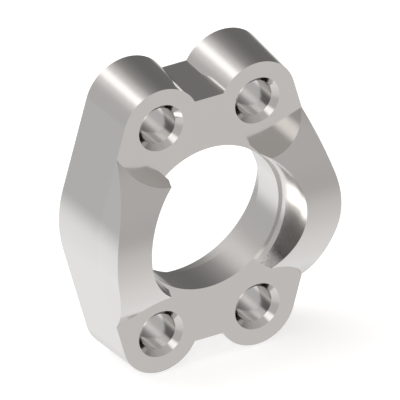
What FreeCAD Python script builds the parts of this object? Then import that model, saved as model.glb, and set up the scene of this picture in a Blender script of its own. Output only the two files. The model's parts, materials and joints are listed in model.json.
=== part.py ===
import FreeCAD, Part

import math
import os

# One-piece flange clamp for a hydraulic port, 3/4 inch size of the standard 3000 psi series.
# One steel forging, machined on the faces, in the bore and at the four bolt holes.
# X runs along the short bolt pitch and Z along the long one. Y is the bore axis.
# The mounting face lies in y = 0, and the part reaches towards -Y from there.
# The origin is the middle of the mounting face, on the bore axis. All sizes are millimetres.

# Bolt pattern
bolt_pitch_long = 47.63
bolt_pitch_short = 22.23

# Thickness along the bore axis
ear_thickness = 14.2
collar_height = 8.2

# Outline, measured on the ear face
ear_radius = 8.72
body_width = 51.8
side_angle_deg = 15.7
notch_floor_height = 27.7
draft_deg = 2.8

# Crest of the collar, a barrel whose axis runs along X
crest_radius = 26.7

# Bore
neck_diameter = 32.1
head_recess_diameter = 38.8
head_recess_depth = 6.2
relief_diameter = 33.0
relief_depth = 2.05
flare_diameter = 35.9

# Bolt holes and the round seats milled for the bolt heads
hole_diameter = 7.94
hole_mouth_diameter = 10.28
seat_diameter = 22.2

# How far a cutter starts outside the metal that it cuts
overrun = 1.0

along_bore = FreeCAD.Vector(0, 1, 0)
along_width = FreeCAD.Vector(1, 0, 0)
origin = FreeCAD.Vector(0, 0, 0)

bolt_x = bolt_pitch_short / 2
bolt_z = bolt_pitch_long / 2
ear_face_y = -ear_thickness
crest_y = -(ear_thickness + collar_height)
side_angle = math.radians(side_angle_deg)
draft_growth = ear_thickness * math.tan(math.radians(draft_deg))


def outline_half(y, growth):
    """Edges of the outline on the +X side, from the lower notch up to the upper one.

    The outline is two ear arcs, two straight sides that are tangent to them, and a nose
    arc at mid height. Growth moves every edge outwards by the same amount.
    """
    radius = ear_radius + growth
    floor_z = notch_floor_height + growth
    side_distance = bolt_x * math.cos(side_angle) + bolt_z * math.sin(side_angle) + radius
    apex_x = side_distance / math.cos(side_angle)
    nose_radius = (apex_x - body_width / 2 - growth) / (1 / math.cos(side_angle) - 1)
    nose_x = (side_distance - nose_radius) / math.cos(side_angle)
    notch_rise = floor_z - bolt_z
    notch_angle = math.pi - math.asin(notch_rise / radius)
    middle_angle = (side_angle + notch_angle) / 2

    def on_ear(angle, side):
        x = bolt_x + radius * math.cos(angle)
        z = side * (bolt_z + radius * math.sin(angle))
        return FreeCAD.Vector(x, y, z)

    def on_nose(angle):
        return FreeCAD.Vector(nose_x + nose_radius * math.cos(angle), y, nose_radius * math.sin(angle))

    return [
        Part.Arc(on_ear(notch_angle, -1), on_ear(middle_angle, -1), on_ear(side_angle, -1)).toShape(),
        Part.LineSegment(on_ear(side_angle, -1), on_nose(-side_angle)).toShape(),
        Part.Arc(on_nose(-side_angle), on_nose(0), on_nose(side_angle)).toShape(),
        Part.LineSegment(on_nose(side_angle), on_ear(side_angle, 1)).toShape(),
        Part.Arc(on_ear(side_angle, 1), on_ear(middle_angle, 1), on_ear(notch_angle, 1)).toShape(),
    ]


def outline_wire(y, growth):
    """The whole closed outline: the +X half, its mirror image and the two notch floors."""
    right = outline_half(y, growth)
    left = [edge.mirror(origin, along_width) for edge in right]
    corners = [right[-1].Vertexes[-1].Point, right[0].Vertexes[0].Point]
    floors = [
        Part.LineSegment(corner, FreeCAD.Vector(-corner.x, corner.y, corner.z)).toShape()
        for corner in corners
    ]
    return Part.Wire(Part.__sortEdges__(right + left + floors))


def body_with_draft():
    """The ears and the web between them, widest at the mounting face."""
    back = outline_wire(0, draft_growth)
    front = outline_wire(ear_face_y, 0)
    return Part.makeLoft([back, front], True, True)


def seat_cutter(side):
    """The pocket milled for one pair of bolt heads: a slot with round ends, open to the front."""
    radius = seat_diameter / 2
    z = side * bolt_z

    def rim(x, dz):
        return FreeCAD.Vector(x, ear_face_y, z + dz)

    wire = Part.Wire([
        Part.LineSegment(rim(-bolt_x, -radius), rim(bolt_x, -radius)).toShape(),
        Part.Arc(rim(bolt_x, -radius), rim(bolt_x + radius, 0), rim(bolt_x, radius)).toShape(),
        Part.LineSegment(rim(bolt_x, radius), rim(-bolt_x, radius)).toShape(),
        Part.Arc(rim(-bolt_x, radius), rim(-bolt_x - radius, 0), rim(-bolt_x, -radius)).toShape(),
    ])
    return Part.Face(wire).extrude(along_bore * -(collar_height + overrun))


def collar():
    """The raised part in front of the ears: the outline under the barrel-shaped crest."""
    block = Part.Face(outline_wire(ear_face_y, 0)).extrude(along_bore * -collar_height)
    barrel_start = FreeCAD.Vector(-body_width, crest_y + crest_radius, 0)
    barrel = Part.makeCylinder(crest_radius, 2 * body_width, barrel_start, along_width)
    return block.common(barrel).cut(seat_cutter(1)).cut(seat_cutter(-1))


def bore_cutter():
    """Everything that is bored out, as one profile turned about the bore axis."""
    flare_slope = (flare_diameter - relief_diameter) / 2 / (collar_height - relief_depth)
    profile = [
        (0, overrun),
        (head_recess_diameter / 2, overrun),
        (head_recess_diameter / 2, -head_recess_depth),
        (neck_diameter / 2, -head_recess_depth),
        (neck_diameter / 2, ear_face_y),
        (relief_diameter / 2, ear_face_y),
        (relief_diameter / 2, ear_face_y - relief_depth),
        (flare_diameter / 2 + flare_slope * overrun, crest_y - overrun),
        (0, crest_y - overrun),
    ]
    points = [FreeCAD.Vector(r, y, 0) for r, y in profile]
    face = Part.Face(Part.makePolygon(points + points[:1]))
    return face.revolve(origin, along_bore, 360)


def hole_cutter(x, z):
    """A bolt hole through an ear, with a 45 degree mouth at each end."""
    mouth_depth = (hole_mouth_diameter - hole_diameter) / 2
    profile = [
        (0, overrun),
        (hole_mouth_diameter / 2 + overrun, overrun),
        (hole_diameter / 2, -mouth_depth),
        (hole_diameter / 2, ear_face_y + mouth_depth),
        (hole_mouth_diameter / 2 + overrun, ear_face_y - overrun),
        (0, ear_face_y - overrun),
    ]
    points = [FreeCAD.Vector(x + r, y, z) for r, y in profile]
    face = Part.Face(Part.makePolygon(points + points[:1]))
    return face.revolve(FreeCAD.Vector(x, 0, z), along_bore, 360)


def flange_body():
    """The finished flange as one solid."""
    solid = body_with_draft().fuse(collar()).cut(bore_cutter())
    for x in (-bolt_x, bolt_x):
        for z in (-bolt_z, bolt_z):
            solid = solid.cut(hole_cutter(x, z))
    return solid.removeSplitter().Solids[0]


os.makedirs("parts", exist_ok=True)
flange = flange_body()
flange.exportStep("parts/flange_body.step")
box = flange.BoundBox
print("flange_body valid", flange.isValid(), "volume", round(flange.Volume, 1))
print("size", round(box.XLength, 2), round(box.YLength, 2), round(box.ZLength, 2))
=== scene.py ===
"""Looks of the one-piece hydraulic flange clamp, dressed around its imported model.

The part is one steel forging with machined faces. The frame gives its solid, and this file gives
it smooth polished surfaces, a studio with soft light, and the camera of the photograph.
"""

import json
import logging
import math
from dataclasses import dataclass, field
from enum import Enum
from typing import Any

import bpy
import numpy as np
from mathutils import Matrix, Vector

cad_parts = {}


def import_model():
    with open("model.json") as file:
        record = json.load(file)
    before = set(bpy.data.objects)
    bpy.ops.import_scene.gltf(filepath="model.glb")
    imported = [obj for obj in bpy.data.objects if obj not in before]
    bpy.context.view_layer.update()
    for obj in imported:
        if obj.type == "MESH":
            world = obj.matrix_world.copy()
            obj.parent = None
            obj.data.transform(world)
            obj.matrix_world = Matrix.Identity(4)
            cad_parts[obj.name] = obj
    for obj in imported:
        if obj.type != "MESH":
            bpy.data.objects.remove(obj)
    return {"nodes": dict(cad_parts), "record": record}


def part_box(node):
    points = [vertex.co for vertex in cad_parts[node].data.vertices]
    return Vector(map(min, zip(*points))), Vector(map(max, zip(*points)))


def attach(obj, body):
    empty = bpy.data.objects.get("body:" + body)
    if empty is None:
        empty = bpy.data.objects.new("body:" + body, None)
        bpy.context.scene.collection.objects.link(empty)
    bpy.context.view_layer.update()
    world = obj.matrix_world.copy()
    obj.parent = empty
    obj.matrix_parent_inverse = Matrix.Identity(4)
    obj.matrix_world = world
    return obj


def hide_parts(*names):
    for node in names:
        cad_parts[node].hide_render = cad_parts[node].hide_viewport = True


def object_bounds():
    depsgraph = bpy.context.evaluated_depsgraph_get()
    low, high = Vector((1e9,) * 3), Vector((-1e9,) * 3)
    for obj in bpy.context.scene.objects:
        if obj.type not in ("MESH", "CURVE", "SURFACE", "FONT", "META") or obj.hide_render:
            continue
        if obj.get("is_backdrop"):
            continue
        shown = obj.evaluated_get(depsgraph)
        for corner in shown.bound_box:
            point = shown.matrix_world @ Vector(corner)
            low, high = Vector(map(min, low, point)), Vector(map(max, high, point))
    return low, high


MM = 0.001
EAR_FACE_MM = -14.2  # Y of the flat front face of the four ears
LOG = logging.getLogger("flange")


def linear(hex_colour: str) -> tuple[float, float, float, float]:
    """Turn an sRGB hex colour into the linear values that a shader takes.

    Args:
        hex_colour: Six hex digits, such as "C7C4C1".

    Returns:
        Red, green, blue and an alpha of 1.
    """
    parts = [int(hex_colour[i:i + 2], 16) / 255 for i in (0, 2, 4)]
    toned = [c / 12.92 if c <= 0.04045 else ((c + 0.055) / 1.055) ** 2.4 for c in parts]
    return (toned[0], toned[1], toned[2], 1.0)


def add_node(
    tree: bpy.types.NodeTree,
    kind: str,
    inputs: dict[Any, Any] | None = None,
    **settings: Any,
) -> bpy.types.Node:
    """Add a node, set its properties and fill or link its sockets.

    Args:
        tree: The node tree that gets the node.
        kind: The node's type name without "ShaderNode".
        inputs: Socket name or number to a value, or to a socket that is linked to it.
        **settings: Properties of the node itself.

    Returns:
        The new node.
    """
    node = tree.nodes.new("ShaderNode" + kind)
    for name, value in settings.items():
        setattr(node, name, value)
    for key, value in (inputs or {}).items():
        if isinstance(value, bpy.types.NodeSocket):
            tree.links.new(value, node.inputs[key])
        else:
            node.inputs[key].default_value = value
    return node


class Interpolation(Enum):
    """How a ramp goes from its first value to its second."""

    EVEN = "LINEAR"
    SOFT = "SMOOTHSTEP"


def ramp(
    tree: bpy.types.NodeTree,
    value: bpy.types.NodeSocket,
    start: tuple[float, float],
    end: tuple[float, float],
    shape: Interpolation = Interpolation.SOFT,
) -> bpy.types.NodeSocket:
    """Map a value from one range to another, and hold it at both ends.

    Args:
        tree: The node tree.
        value: The socket that is mapped.
        start: The input where the ramp begins, and the output there.
        end: The input where the ramp ends, and the output there.
        shape: Even or soft.

    Returns:
        The socket with the mapped value.
    """
    ranges = {"From Min": start[0], "From Max": end[0], "To Min": start[1], "To Max": end[1]}
    node = add_node(tree, "MapRange", {"Value": value, **ranges}, interpolation_type=shape.value)
    return node.outputs["Result"]


@dataclass(frozen=True)
class MilledSteel:
    """Carbon steel, milled and turned to a fine bright finish, then oiled.

    The oiled steel reflects nearly three quarters of the light, slightly more red than blue, so it
    looks a warm grey. The fine cut leaves it smooth enough to mirror what is near it, and softens
    what is far.

    Attributes:
        colour: What it reflects.
        roughness: Middle of its gloss.
        roughness_spread: How far the grain moves the gloss up and down.
        grain_mm: Size of the grain of the cut, drawn coarser than the real one so that it shows.
        grain_detail: How many finer layers the grain has.
        grain_span: The grain's values where the gloss is at its two ends.
        grain_height_mm: Height of the grain.
    """

    colour: str = "DFDDDB"
    roughness: float = 0.125
    roughness_spread: float = 0.02
    grain_mm: float = 0.6
    grain_detail: float = 3.0
    grain_span: tuple[float, float] = (0.3, 0.7)
    grain_height_mm: float = 0.0003

    def material(self) -> bpy.types.Material:
        """Build the material: metal whose gloss varies a little in a fine milled grain."""
        made = bpy.data.materials.new("milled_steel")
        made.use_nodes = True
        tree = made.node_tree
        shader = tree.nodes["Principled BSDF"]
        shader.inputs["Base Color"].default_value = linear(self.colour)
        shader.inputs["Metallic"].default_value = 1.0
        place = add_node(tree, "TexCoord").outputs["Object"]
        pattern = {"Vector": place, "Scale": 1 / (self.grain_mm * MM), "Detail": self.grain_detail}
        grain = add_node(tree, "TexNoise", pattern).outputs["Fac"]
        low, high = self.roughness - self.roughness_spread, self.roughness + self.roughness_spread
        gloss = ramp(tree, grain, (self.grain_span[0], low), (self.grain_span[1], high))
        tree.links.new(gloss, shader.inputs["Roughness"])
        relief = {"Height": grain, "Distance": self.grain_height_mm * MM, "Strength": 1.0}
        bump = add_node(tree, "Bump", relief)
        tree.links.new(bump.outputs["Normal"], shader.inputs["Normal"])
        return made


@dataclass(frozen=True)
class RoundFace:
    """A cylinder or a cone that facets of the part lie on.

    Attributes:
        start_mm: A point on its axis.
        way: Direction of the axis.
        radius_mm: Its radius at the start.
        growth: How much the radius grows per millimetre along the way.
    """

    start_mm: tuple[float, float, float]
    way: tuple[float, float, float]
    radius_mm: float
    growth: float = 0.0

    def normals(self, points: np.ndarray) -> tuple[np.ndarray, np.ndarray]:
        """Give the face's normal at each point, and the point's distance from the face.

        At place t along the axis the face has the radius r + growth t. Its normal is the unit
        vector away from the axis, less growth times the way, brought back to length one.

        Args:
            points: Places in metres, in the last dimension of the array.

        Returns:
            The outward normals, and the distances in metres.
        """
        way = np.array(self.way)
        reach = points - np.array(self.start_mm) * MM
        along = reach @ way
        out = reach - along[..., None] * way
        distance = np.linalg.norm(out, axis=-1)
        stray = np.abs(distance - self.radius_mm * MM - self.growth * along)
        # No round face is narrower than this, so the floor only keeps the division safe.
        safe = np.maximum(distance, MM)[..., None]
        normal = out / safe - self.growth * way
        return normal / math.hypot(1.0, self.growth), stray


@dataclass
class FlangeBody:
    """The whole forging, shown with truly round faces and crisp edges.

    Every face of the part is flat or one of the round faces that these sizes give.

    Attributes:
        node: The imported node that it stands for.
        name: Name of the piece.
        merge_mm: Points closer than this are one point.
        ear_radius_mm: Radius of the ears on the ear face.
        seat_radius_mm: Radius of the walls of the pockets.
        nose_radius_mm: Radius of the nose on the ear face, at mid height on each side.
        nose_x_mm: X of the axis of the right nose.
        crest_radius_mm: Radius of the barrel of the crest.
        relief_radius_mm: Radius of the step behind the flare.
        flare_start_mm: Y of the flare's narrow end.
        flare_growth: Growth of the flare's radius per millimetre towards the front.
        draft_deg: Draft of the outline behind the ear face.
        mouth_radius_mm: Radius of the mouths of the bolt holes, on the part's faces.
        mouth_growth: Growth of that radius per millimetre inwards, for mouths of 45 degrees.
        fit_mm: How near to a round face the corners of its facets lie.
        fit_deg: How near the facet's own normal is to the face's.
    """

    node: str = "flange_body"
    name: str = "flange_forging"
    merge_mm: float = 0.001
    ear_radius_mm: float = 8.72
    seat_radius_mm: float = 11.1
    nose_radius_mm: float = 24.95
    nose_x_mm: float = 0.95
    crest_radius_mm: float = 26.7
    relief_radius_mm: float = 16.5
    flare_start_mm: float = -16.25
    flare_growth: float = 0.2358
    draft_deg: float = 2.8
    mouth_radius_mm: float = 5.14
    mouth_growth: float = -1.0
    fit_mm: float = 0.003
    fit_deg: float = 12.0
    finish: MilledSteel = field(default_factory=MilledSteel)

    def round_faces(self, record: dict[str, Any]) -> list[RoundFace]:
        """List the round faces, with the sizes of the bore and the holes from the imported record.

        Args:
            record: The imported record.

        Returns:
            The faces of the bore, the crest, the noses, the ears, the holes and the pockets.
        """
        dims = {mount["name"]: mount["dims"] for mount in record["mounts"]}
        bolts = dims["bolt_holes"]
        relief, nose, ear = self.relief_radius_mm, self.nose_radius_mm, self.ear_radius_mm
        mouth, narrowing = self.mouth_radius_mm, self.mouth_growth
        draft = math.tan(math.radians(self.draft_deg))
        crest_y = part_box(self.node)[0].y / MM
        back, front, right = (0.0, 1.0, 0.0), (0.0, -1.0, 0.0), (1.0, 0.0, 0.0)
        middle = (0.0, 0.0, 0.0)
        barrel = (0.0, crest_y + self.crest_radius_mm, 0.0)
        faces = [
            RoundFace(middle, back, dims["head_recess"]["r_mm"]),
            RoundFace(middle, back, dims["neck_bore"]["r_mm"]),
            RoundFace(middle, back, relief),
            RoundFace((0.0, self.flare_start_mm, 0.0), front, relief, self.flare_growth),
            RoundFace(barrel, right, self.crest_radius_mm),
        ]
        for x in (-self.nose_x_mm, self.nose_x_mm):
            faces.append(RoundFace((x, EAR_FACE_MM, 0.0), back, nose, draft))
            faces.append(RoundFace((x, EAR_FACE_MM, 0.0), front, nose))
        half_x, half_z = bolts["spacing_x_mm"] / 2, bolts["spacing_y_mm"] / 2
        for x, z in ((-half_x, -half_z), (-half_x, half_z), (half_x, -half_z), (half_x, half_z)):
            faces.append(RoundFace((x, EAR_FACE_MM, z), back, ear, draft))
            faces.append(RoundFace((x, EAR_FACE_MM, z), front, ear))
            faces.append(RoundFace((x, EAR_FACE_MM, z), front, self.seat_radius_mm))
            faces.append(RoundFace((x, EAR_FACE_MM, z), back, bolts["hole_r_mm"]))
            faces.append(RoundFace((x, EAR_FACE_MM, z), back, mouth, narrowing))
            faces.append(RoundFace((x, 0.0, z), front, mouth, narrowing))
        return faces

    def true_normals(self, corners: np.ndarray, faces: list[RoundFace]) -> np.ndarray:
        """Give each corner of each facet the normal of the true face there.

        A facet belongs to the round face that its three corners lie on, if its own normal is near
        that face's, either way round, and to the nearest where there are several. A facet that
        belongs to none is flat.

        Args:
            corners: The places of the corners, three to a facet.
            faces: The round faces.

        Returns:
            One unit vector for each corner.
        """
        flat = np.cross(corners[:, 1] - corners[:, 0], corners[:, 2] - corners[:, 0])
        flat /= np.linalg.norm(flat, axis=1, keepdims=True)
        normals = np.repeat(flat[:, None], 3, axis=1)
        nearest = np.full(len(corners), self.fit_mm * MM)
        aligned = math.cos(math.radians(self.fit_deg))
        for face in faces:
            turned, stray = face.normals(corners)
            mean = turned.sum(axis=1)
            match = (mean * flat).sum(axis=1) / np.linalg.norm(mean, axis=1)
            worst = stray.max(axis=1)
            fits = (worst < nearest) & (np.abs(match) > aligned)
            normals[fits] = turned[fits] * np.sign(match[fits])[:, None, None]
            nearest[fits] = worst[fits]
        return normals

    def build(
        self, nodes: dict[str, bpy.types.Object], record: dict[str, Any]
    ) -> bpy.types.Object:
        """Copy the node's mesh, merge its points and give it the normals of its true faces.

        Args:
            nodes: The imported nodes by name.
            record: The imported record.

        Returns:
            The piece that is shown in place of the node.
        """
        packed = nodes[self.node].data
        raw = np.zeros(len(packed.vertices) * 3, np.float32)
        packed.vertices.foreach_get("co", raw)
        points = raw.reshape(-1, 3)
        corners = np.zeros(len(packed.loops), np.int32)
        packed.loops.foreach_get("vertex_index", corners)
        grid = np.round(points / (self.merge_mm * MM)).astype(np.int64)
        _, first, same = np.unique(grid, axis=0, return_index=True, return_inverse=True)
        merged = points[first].astype(float)
        facets = same.reshape(-1)[corners].reshape(-1, 3)
        a, b, c = facets.T
        facets = facets[(a != b) & (b != c) & (c != a)]
        mesh = bpy.data.meshes.new(self.name)
        mesh.from_pydata(merged, [], facets)
        mesh.shade_smooth()
        normals = self.true_normals(merged[facets], self.round_faces(record))
        mesh.normals_split_custom_set(normals.reshape(-1, 3))
        piece = bpy.data.objects.new(self.name, mesh)
        bpy.context.scene.collection.objects.link(piece)
        mesh.materials.append(self.finish.material())
        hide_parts(self.node)
        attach(piece, "root")
        return piece


def towards(azimuth_deg: float, elevation_deg: float) -> tuple[float, float, float]:
    """Turn a bearing into a direction.

    Args:
        azimuth_deg: Bearing from +Y, which lies behind the part, towards +X.
        elevation_deg: Height above the horizon.

    Returns:
        (sin a cos e, cos a cos e, sin e).
    """
    turn, lift = math.radians(azimuth_deg), math.radians(elevation_deg)
    return (math.sin(turn) * math.cos(lift), math.cos(turn) * math.cos(lift), math.sin(lift))


def cosine(
    tree: bpy.types.NodeTree,
    direction: bpy.types.NodeSocket,
    other: tuple[float, float, float],
) -> bpy.types.NodeSocket:
    """Give the cosine of the angle between the direction that is looked in and another.

    Args:
        tree: The world's node tree.
        direction: The direction that is looked in.
        other: A unit vector.

    Returns:
        The socket with the dot product of the two.
    """
    product = add_node(tree, "VectorMath", {0: direction, 1: other}, operation="DOT_PRODUCT")
    return product.outputs["Value"]


@dataclass(frozen=True)
class SoftPatch:
    """A round soft patch in the light tent, a lamp, a pale patch or a patch of painted shade,
    strongest in its middle.

    Attributes:
        azimuth_deg: Bearing of its middle.
        elevation_deg: Height of its middle above the horizon.
        even_deg: Out to here its light is even.
        radius_deg: Here its light has faded to nothing.
        brightness: What its middle adds to the tent, less than zero for a patch of painted shade.
    """

    azimuth_deg: float
    elevation_deg: float
    even_deg: float
    radius_deg: float
    brightness: float

    def glow(
        self, tree: bpy.types.NodeTree, direction: bpy.types.NodeSocket
    ) -> bpy.types.NodeSocket:
        """Give the brightness that this patch adds in a direction.

        Args:
            tree: The world's node tree.
            direction: The direction that is looked in.

        Returns:
            A soft step of the cosine between the direction and the patch.
        """
        middle = cosine(tree, direction, towards(self.azimuth_deg, self.elevation_deg))
        edge, even = (math.cos(math.radians(angle)) for angle in (self.radius_deg, self.even_deg))
        return ramp(tree, middle, (edge, 0.0), (even, self.brightness))


@dataclass
class Studio:
    """A white sweep with a light tent over it, as a catalogue photograph has.

    The camera sees the plain white sweep, and the metal mirrors the tent. A mirror of nothing but
    white would be white all over, so the tent has darker and brighter parts.

    The tent is a smooth field of brightness by direction. Its walls are even, and darker in the
    far right corner. Below lies the bright floor, brighter towards the back. A large soft box
    hangs high on the left behind the part and lights the tent around it, with a small one below
    it. Other small ones hang on the left in front and overhead. On the floor on the far right the
    tent is darker in soft patches, a painted shade that stands for the part's own shadow there.

    Attributes:
        wall: Brightness of the tent's walls.
        corner: Brightness of the dark far corner.
        corner_at: Bearing and height of the dark corner.
        corner_cosines: Where the walls begin to darken, and where they are darkest.
        horizon: Z of the direction where the floor begins to show, and where it is all floor.
        floor_slope_deg: Tilt of the floor's shading, from level towards straight down.
        floor_levels: Brightness of the floor across that shading, at cosines of -1 and 1.
        boxes: The soft boxes.
        painted_shade_and_pale_patches: Soft patches that make the tent darker or a little paler
            where they lie; the dark ones on the floor on the far right are painted shade.
        back_tone: Colour of the light from low behind the part.
        front_tone: Colour of the light from high in front.
        warm_at: Bearing and height of the middle of the warm side.
        warm_cosines: Where the light has the back's tone, and where it has the front's.
        sweep_colour: Colour of the background that the camera sees.
        floor_colour: Colour of the floor's paint.
        floor_lift: Light that the floor adds, so that it runs into the background.
        floor_side_mm: Side of the floor.
    """

    wall: float = 0.535
    corner: float = 0.173
    corner_at: tuple[float, float] = (55.0, 7.9)
    corner_cosines: tuple[float, float] = (0.193, 0.950)
    horizon: tuple[float, float] = (-0.125, -0.461)
    floor_slope_deg: float = 45.8
    floor_levels: tuple[float, float] = (0.460, 0.992)
    boxes: tuple[SoftPatch, ...] = (
        SoftPatch(-53.8, 55.9, 16.1, 26.9, 1.86),
        SoftPatch(-66.7, 60.7, 0.0, 47.2, 0.59),
        SoftPatch(-58.0, 32.0, 0.0, 12.0, 0.7),
        SoftPatch(-143.6, 33.5, 3.0, 17.5, 0.76),
        SoftPatch(180.0, 79.0, 8.0, 12.5, 1.84),
    )
    # Darker patches are painted shade, mostly on the tent's floor on the far right where the part's
    # shadow would lie; a few are pale.
    painted_shade_and_pale_patches: tuple[SoftPatch, ...] = (
        SoftPatch(30.0, -45.0, 0.0, 34.0, -0.16),
        SoftPatch(64.0, -32.0, 0.0, 28.0, -0.30),
        SoftPatch(80.0, -20.0, 0.0, 34.0, -0.06),
        SoftPatch(120.0, 62.0, 0.0, 34.0, -0.08),
        SoftPatch(160.0, -20.0, 0.0, 34.0, -0.026),
        SoftPatch(150.0, -45.0, 0.0, 34.0, 0.028),
        SoftPatch(120.0, 5.0, 0.0, 34.0, 0.035),
        SoftPatch(-30.0, 32.0, 0.0, 34.0, 0.02),
    )
    back_tone: str = "FFFFFF"
    front_tone: str = "FFFCFA"
    warm_at: tuple[float, float] = (180.0, 40.0)
    warm_cosines: tuple[float, float] = (-0.95, 0.25)
    sweep_colour: str = "FFFFFF"
    floor_colour: str = "D6D6D6"
    floor_lift: float = 0.6
    floor_side_mm: float = 4000.0

    def light(self) -> None:
        """Hang the tent, which mirrors and the floor see and the camera doesn't."""
        world = bpy.data.worlds.new("light_tent")
        bpy.context.scene.world = world
        world.use_nodes = True
        tree = world.node_tree
        tree.nodes.clear()
        direction = add_node(tree, "TexCoord").outputs["Generated"]
        height = add_node(tree, "SeparateXYZ", {0: direction}).outputs["Z"]
        start, end = self.corner_cosines
        corner = cosine(tree, direction, towards(*self.corner_at))
        walls = ramp(tree, corner, (start, self.wall), (end, self.corner))
        near, far = self.floor_levels
        slope = cosine(tree, direction, towards(0.0, -self.floor_slope_deg))
        floor = ramp(tree, slope, (-1.0, near), (1.0, far), Interpolation.EVEN)
        below = ramp(tree, height, (self.horizon[0], 0.0), (self.horizon[1], 1.0))
        total = add_node(tree, "Mix", {0: below, 2: walls, 3: floor}, data_type="FLOAT").outputs[0]
        for patch in self.boxes + self.painted_shade_and_pale_patches:
            glow = patch.glow(tree, direction)
            total = add_node(tree, "Math", {0: total, 1: glow}, operation="ADD").outputs[0]
        cool_end, warm_end = self.warm_cosines
        warm = cosine(tree, direction, towards(*self.warm_at))
        warmth = ramp(tree, warm, (cool_end, 0.0), (warm_end, 1.0))
        tones = {0: warmth, 6: linear(self.back_tone), 7: linear(self.front_tone)}
        tone = add_node(tree, "Mix", tones, data_type="RGBA").outputs[2]
        tent = add_node(tree, "Background", {"Color": tone, "Strength": total})
        sweep = add_node(tree, "Background", {"Color": linear(self.sweep_colour), "Strength": 1.0})
        path = add_node(tree, "LightPath")
        seen = {0: path.outputs["Is Camera Ray"], 1: tent.outputs[0], 2: sweep.outputs[0]}
        mixed = add_node(tree, "MixShader", seen)
        add_node(tree, "OutputWorld", {"Surface": mixed.outputs[0]}).is_active_output = True

    def lay_floor(self, height: float) -> bpy.types.Object:
        """Lay the pale floor under the part.

        Args:
            height: The floor's Z in metres.

        Returns:
            The floor, which is marked as stage.
        """
        half = self.floor_side_mm * MM / 2
        mesh = bpy.data.meshes.new("floor")
        plan = ((-half, -half), (half, -half), (half, half), (-half, half))
        mesh.from_pydata([(x, y, height) for x, y in plan], [], [(0, 1, 2, 3)])
        floor = bpy.data.objects.new("floor", mesh)
        bpy.context.scene.collection.objects.link(floor)
        mesh.materials.append(self.floor_paint())
        floor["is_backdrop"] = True
        return floor

    def floor_paint(self) -> bpy.types.Material:
        """Matt white paint that mirrors let through, so that they show the tent's own floor."""
        made = bpy.data.materials.new("matt_white_sweep")
        made.use_nodes = True
        tree = made.node_tree
        tree.nodes.clear()
        path = add_node(tree, "LightPath")
        matt = add_node(tree, "BsdfDiffuse", {"Color": linear(self.floor_colour)})
        lift = add_node(tree, "Emission", {"Strength": self.floor_lift})
        pale = add_node(tree, "AddShader", {0: matt.outputs[0], 1: lift.outputs[0]})
        clear = add_node(tree, "BsdfTransparent")
        seen = {0: path.outputs["Is Glossy Ray"], 1: pale.outputs[0], 2: clear.outputs[0]}
        mixed = add_node(tree, "MixShader", seen)
        add_node(tree, "OutputMaterial", {"Surface": mixed.outputs[0]})
        return made


@dataclass
class Camera:
    """The photograph's view: parallel lines stay parallel in it, so the camera is orthographic.

    Attributes:
        azimuth_deg: Turn about the vertical, from a view along +Y.
        elevation_deg: Height above the horizon.
        pixels_per_mm: Scale of the photograph.
        photo_side_px: Width and height of the photograph.
        centre_px: Where the photograph shows the middle of the ear face.
        distance_mm: How far back the camera stands.
        clip_mm: Nearest and furthest that it sees.
    """

    azimuth_deg: float = -30.0
    elevation_deg: float = 30.0
    pixels_per_mm: float = 4.99
    photo_side_px: float = 400.0
    centre_px: tuple[float, float] = (209.17, 217.25)
    distance_mm: float = 500.0
    clip_mm: tuple[float, float] = (10.0, 10000.0)

    def place(self) -> None:
        """Aim the camera so that the middle of the ear face falls on its pixel."""
        turn, lift = math.radians(self.azimuth_deg), math.radians(self.elevation_deg)
        level = math.cos(lift)
        back = Vector((math.sin(turn) * level, -math.cos(turn) * level, math.sin(lift)))
        right = Vector((math.cos(turn), math.sin(turn), 0.0))
        up = back.cross(right)
        middle = self.photo_side_px / 2
        across = (middle - self.centre_px[0]) / self.pixels_per_mm
        upward = (self.centre_px[1] - middle) / self.pixels_per_mm
        target = Vector((0.0, EAR_FACE_MM, 0.0)) + right * across + up * upward
        lens = bpy.data.cameras.new("camera")
        lens.type = "ORTHO"
        lens.ortho_scale = self.photo_side_px / self.pixels_per_mm * MM
        camera = bpy.data.objects.new("camera", lens)
        camera.rotation_mode = "QUATERNION"
        camera.rotation_quaternion = back.to_track_quat("Z", "Y")
        camera.location = (target + back * self.distance_mm) * MM
        lens.clip_start, lens.clip_end = (reach * MM for reach in self.clip_mm)
        bpy.context.scene.collection.objects.link(camera)
        bpy.context.scene.camera = camera


def main() -> None:
    """Dress the part, light it and place the camera."""
    logging.basicConfig(level=logging.INFO, format="%(name)s: %(message)s")
    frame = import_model()
    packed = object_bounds()
    body = FlangeBody().build(frame["nodes"], frame["record"])
    LOG.info("built %s with %d faces", body.name, len(body.data.polygons))
    studio = Studio()
    studio.light()
    floor = studio.lay_floor(packed[0].z)
    LOG.info("laid %s", floor.name)
    Camera().place()
    bpy.context.scene.view_settings.view_transform = "Standard"


if __name__ == "__main__":
    main()
